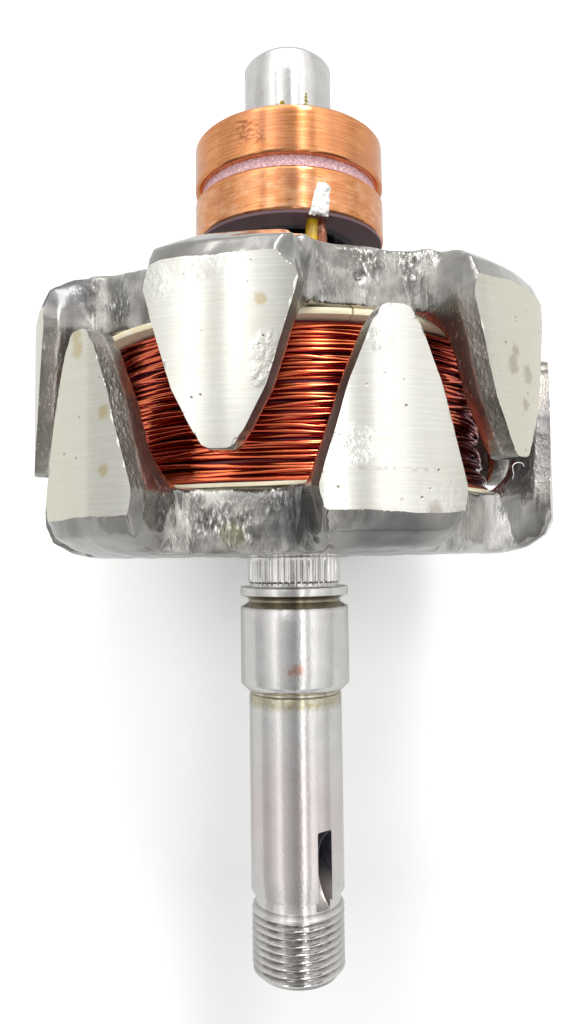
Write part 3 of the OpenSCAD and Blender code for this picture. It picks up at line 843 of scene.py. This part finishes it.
def lead(name, angle, radius, low, high, width, depth, material):
    """A lead's length along the shaft, a little flattened and bent."""
    bm = bmesh.new()
    bmesh.ops.create_cone(bm, cap_ends=True, segments=24, radius1=0.5 * MM, radius2=0.5 * MM,
                          depth=(high - low) * MM)
    lengthwise = [e for e in bm.edges if abs(e.verts[0].co.z - e.verts[1].co.z) > 1e-4]
    bmesh.ops.subdivide_edges(bm, edges=lengthwise, cuts=24)
    bmesh.ops.scale(bm, verts=bm.verts, vec=(width, depth, 1))
    bmesh.ops.rotate(bm, verts=bm.verts, matrix=Matrix.Rotation(radians(-90), 3, "X"))
    for vert in bm.verts:
        along = vert.co.y / MM
        vert.co.x += 0.12 * sin(along * 0.7) * MM
        vert.co.x += 0.08 * noise.noise(vert.co / MM / 1.5) * MM
    bmesh.ops.translate(bm, verts=bm.verts, vec=(0, (low + high) / 2 * MM, radius * MM))
    bmesh.ops.rotate(bm, verts=bm.verts, cent=(0, 0, 0),
                     matrix=Matrix.Rotation(radians(angle), 3, "Y"))
    sharpen(bm, 50)
    return piece(name, bm, material)


FAR_ANGLE, FAR_R = 199.6, 14.2
for name, node, angle, radius, low, high, width, depth, made_of in (
        ("near_sleeve", "near_lead_sleeve", 17.4, 14.6, board_top, ring_low + 0.9, 2.3, 2.1,
         sleeving),
        ("near_wire", "near_lead_wire", 23.8, 14.9, board_top + 6, ring_low + 0.9, 1.9, 1.7,
         lead_enamel),
        ("far_sleeve", "far_lead_sleeve", FAR_ANGLE, FAR_R, board_top, ring_low + 3, 3.1, 3.1,
         sleeving),
        ("far_wire", "far_lead_wire", FAR_ANGLE, FAR_R, board_top + 1, ring_low + 3.2, 1.5, 1.5,
         lead_enamel)):
    slot = "lead_sleeve" if made_of is sleeving else "lead_wire"
    keep(lead(name, angle, radius, low, high, width, depth, made_of), slot, node)

# Solder run over the lead and up the ring's face: u goes round the ring and v along it
bm = bmesh.new()
bmesh.ops.create_grid(bm, x_segments=36, y_segments=60, size=1)
for vert in bm.verts:
    u, v = vert.co.x, vert.co.y
    ragged = 0.2 * noise.noise(Vector((u * 3, v * 3, 4)))
    bank = 1 - (abs(u) ** 3 + abs(v) ** 6) - abs(ragged)
    # A bare spot is left between the two runs
    bank = max(0.0, bank - 0.9 * max(0.0, 1 - hypot((u - 0.55) / 0.35, (v - 0.45) / 0.14)))
    angle = 19.9 + 1.5 * v + u * (5.1 - 0.6 * v) + 0.9 * noise.noise(Vector((u, v * 2.5, 8)))
    along = ring_low + 2.1 + v * 2.9 + ragged
    height = -0.3
    if bank > 0.02:
        height = 0.5 * bank ** 0.6 - 0.06 + 0.1 * noise.noise(Vector((u * 5, v * 7, 1)))
    vert.co = place(angle, RING_R + height, along)
bmesh.ops.solidify(bm, geom=bm.faces[:], thickness=0.1 * MM)
bmesh.ops.recalc_face_normals(bm, faces=bm.faces)
keep(piece("solder_run", bm, solder), "solder", "solder_joint")

# The two hidden CAD nodes keep their own meshes
for node, made_of in (("core", shaft_steel), ("bobbin_tube", card)):
    for slot in cad[node].material_slots:
        slot.material = made_of


# ---------------------------------------------------------------- floor, light and camera

bm = bmesh.new()
bmesh.ops.create_grid(bm, x_segments=1, y_segments=1, size=3)
bmesh.ops.translate(bm, verts=bm.verts, vec=(0, 0, cad_box[0][2] - 0.2 * MM))
table_top = bpy.data.materials.new("white_table")
table_top.use_nodes = True
tree = table_top.node_tree
tree.nodes.remove(tree.nodes["Principled BSDF"])
# Painted shadow: the table is painted greyer along the shaft past the drive end, fading out to
# either side and deepening towards the thread's end, and it gives back a little less light than it
# shows
where = add(tree, "TexCoord", out="Object")
shadow_across_shaft = add(tree, "MapRange", {"Value": share_of(tree, where, "X"), "From Min": 18 * MM,
                               "From Max": 62 * MM, "To Min": 1.0, "To Max": 0.0},
            interpolation_type="SMOOTHSTEP")
shadow_past_drive_end = add(tree, "SeparateXYZ", {0: where}, out="Y")
shadow_past_drive_end = add(tree, "MapRange", {"Value": shadow_past_drive_end, "From Min": -12 * MM, "From Max": -60 * MM})
seen = layered(tree, [1.11, 1.115, 1.105, 1.0],
               (meeting(tree, shadow_across_shaft, shadow_past_drive_end), 1, [0.83, 0.835, 0.83, 1.0]))
eye = add(tree, "LightPath", out="Is Camera Ray")
white = add(tree, "BsdfDiffuse", {"Color": layered(tree, "#D7D8D7", (eye, 1, seen))})
tree.links.new(white, tree.nodes["Material Output"].inputs["Surface"])
piece("table", bm, table_top)

# A white room seen all round the shaft: dark straight above, bright panels beside that.
# Each band is (angle from straight above towards +X, brightness).
PEAK = 2.4
ROOM = ((-180, 0.9), (-120, 0.86), (-86, 0.68), (-72, 0.68), (-60, 0.9), (-50, 1.06),
        (-44, 1.42), (-38, 1.44), (-34, 1.05), (-30, 0.84), (-24, 0.77), (-14, 0.61), (0, 0.43),
        (6, 0.5), (12, 0.74), (15, 1.5), (18, 2.4), (21, 2.0), (24, 1.25), (28, 0.86),
        (33, 0.84), (36, 1.5), (41, 1.45), (46, 1.38), (54, 1.06), (64, 1.06), (74, 0.88),
        (82, 0.76), (90, 0.72), (100, 0.82), (180, 0.92))
# The window end, towards the slip rings, is brighter and has one more panel
PANEL = ((-44, 0), (-38, 0.2), (-34, 0.3), (-30, 0.1), (-26, 0.15), (-23, 0.9), (-17, 0.9),
         (-12, 0.5), (-6, 0.4), (3, 0.15), (9, 0))
# A lamp low over the slip rings, which only the wires and the wrinkles in the varnish turn towards
LAMP = ((-46, 0.0), (-40, 0.09), (8, 0.09), (14, 0.12), (19, 1.0), (26, 1.0), (32, 0.0))
LAMP_POWER = 10


def bands(stops, top=1.0):
    """Ramp stops for bands of light round the shaft, with top drawn as 1."""
    return [((angle + 180) / 360, light / top) for angle, light in stops]


world = bpy.data.worlds.new("studio")
bpy.context.scene.world = world
world.use_nodes = True
tree = world.node_tree
window = tree.nodes["Background"]
way = add(tree, "TexCoord", out="Generated")
across, along, up = [add(tree, "SeparateXYZ", {0: way}, out=axis) for axis in "XYZ"]
turned = add(tree, "Math", {0: across, 1: up}, operation="ARCTAN2")
turned = add(tree, "Math", {0: turned, 1: 1 / (2 * pi), 2: 0.5}, operation="MULTIPLY_ADD")
raised = add(tree, "MapRange", {"Value": along, "From Min": 0.1, "From Max": 0.25})
panel = layered(tree, "#000000", (
    raised, 1, add(tree, "ValToRGB", {0: turned}, stops=bands(PANEL, PEAK))))
low_down = add(tree, "ValToRGB", {0: along}, stops=(
    (0.56, 0.0), (0.62, 1.0), (0.9, 1.0), (0.95, 0.0)))
lamp = meeting(tree, add(tree, "ValToRGB", {0: turned}, stops=bands(LAMP)), low_down,
               LAMP_POWER / PEAK)
lit = add(tree, "ValToRGB", {0: turned}, stops=bands(ROOM, PEAK))
for more in (panel, lamp):
    lit = add(tree, "Mix", {0: 1.0, 6: lit, 7: more}, out=2, data_type="RGBA", blend_type="ADD")
tilt = add(tree, "Math", {0: along, 1: 0.25 * PEAK, 2: PEAK}, operation="MULTIPLY_ADD")
tree.links.new(lit, window.inputs["Color"])
tree.links.new(tilt, window.inputs["Strength"])
# The eye sees a plain backdrop
plain = add(tree, "Background", {"Color": colour("#F4F4F3")})
eye = add(tree, "LightPath", out="Is Camera Ray")
seen = add(tree, "MixShader", {0: eye, 1: window.outputs[0], 2: plain})
tree.links.new(seen, tree.nodes["World Output"].inputs["Surface"])

lens = bpy.data.cameras.new("camera")
lens.lens = 27.42
lens.sensor_width = 36
lens.clip_start = 5 * MM
camera = linked("camera", lens)
camera.location = Vector((4.597, 16.2, 146.293)) * MM
camera.rotation_euler = Euler([radians(a) for a in (3.4424, 2.2189, -0.7253)])
bpy.context.scene.camera = camera
bpy.context.scene.view_settings.view_transform = "Standard"

bpy.context.view_layer.update()
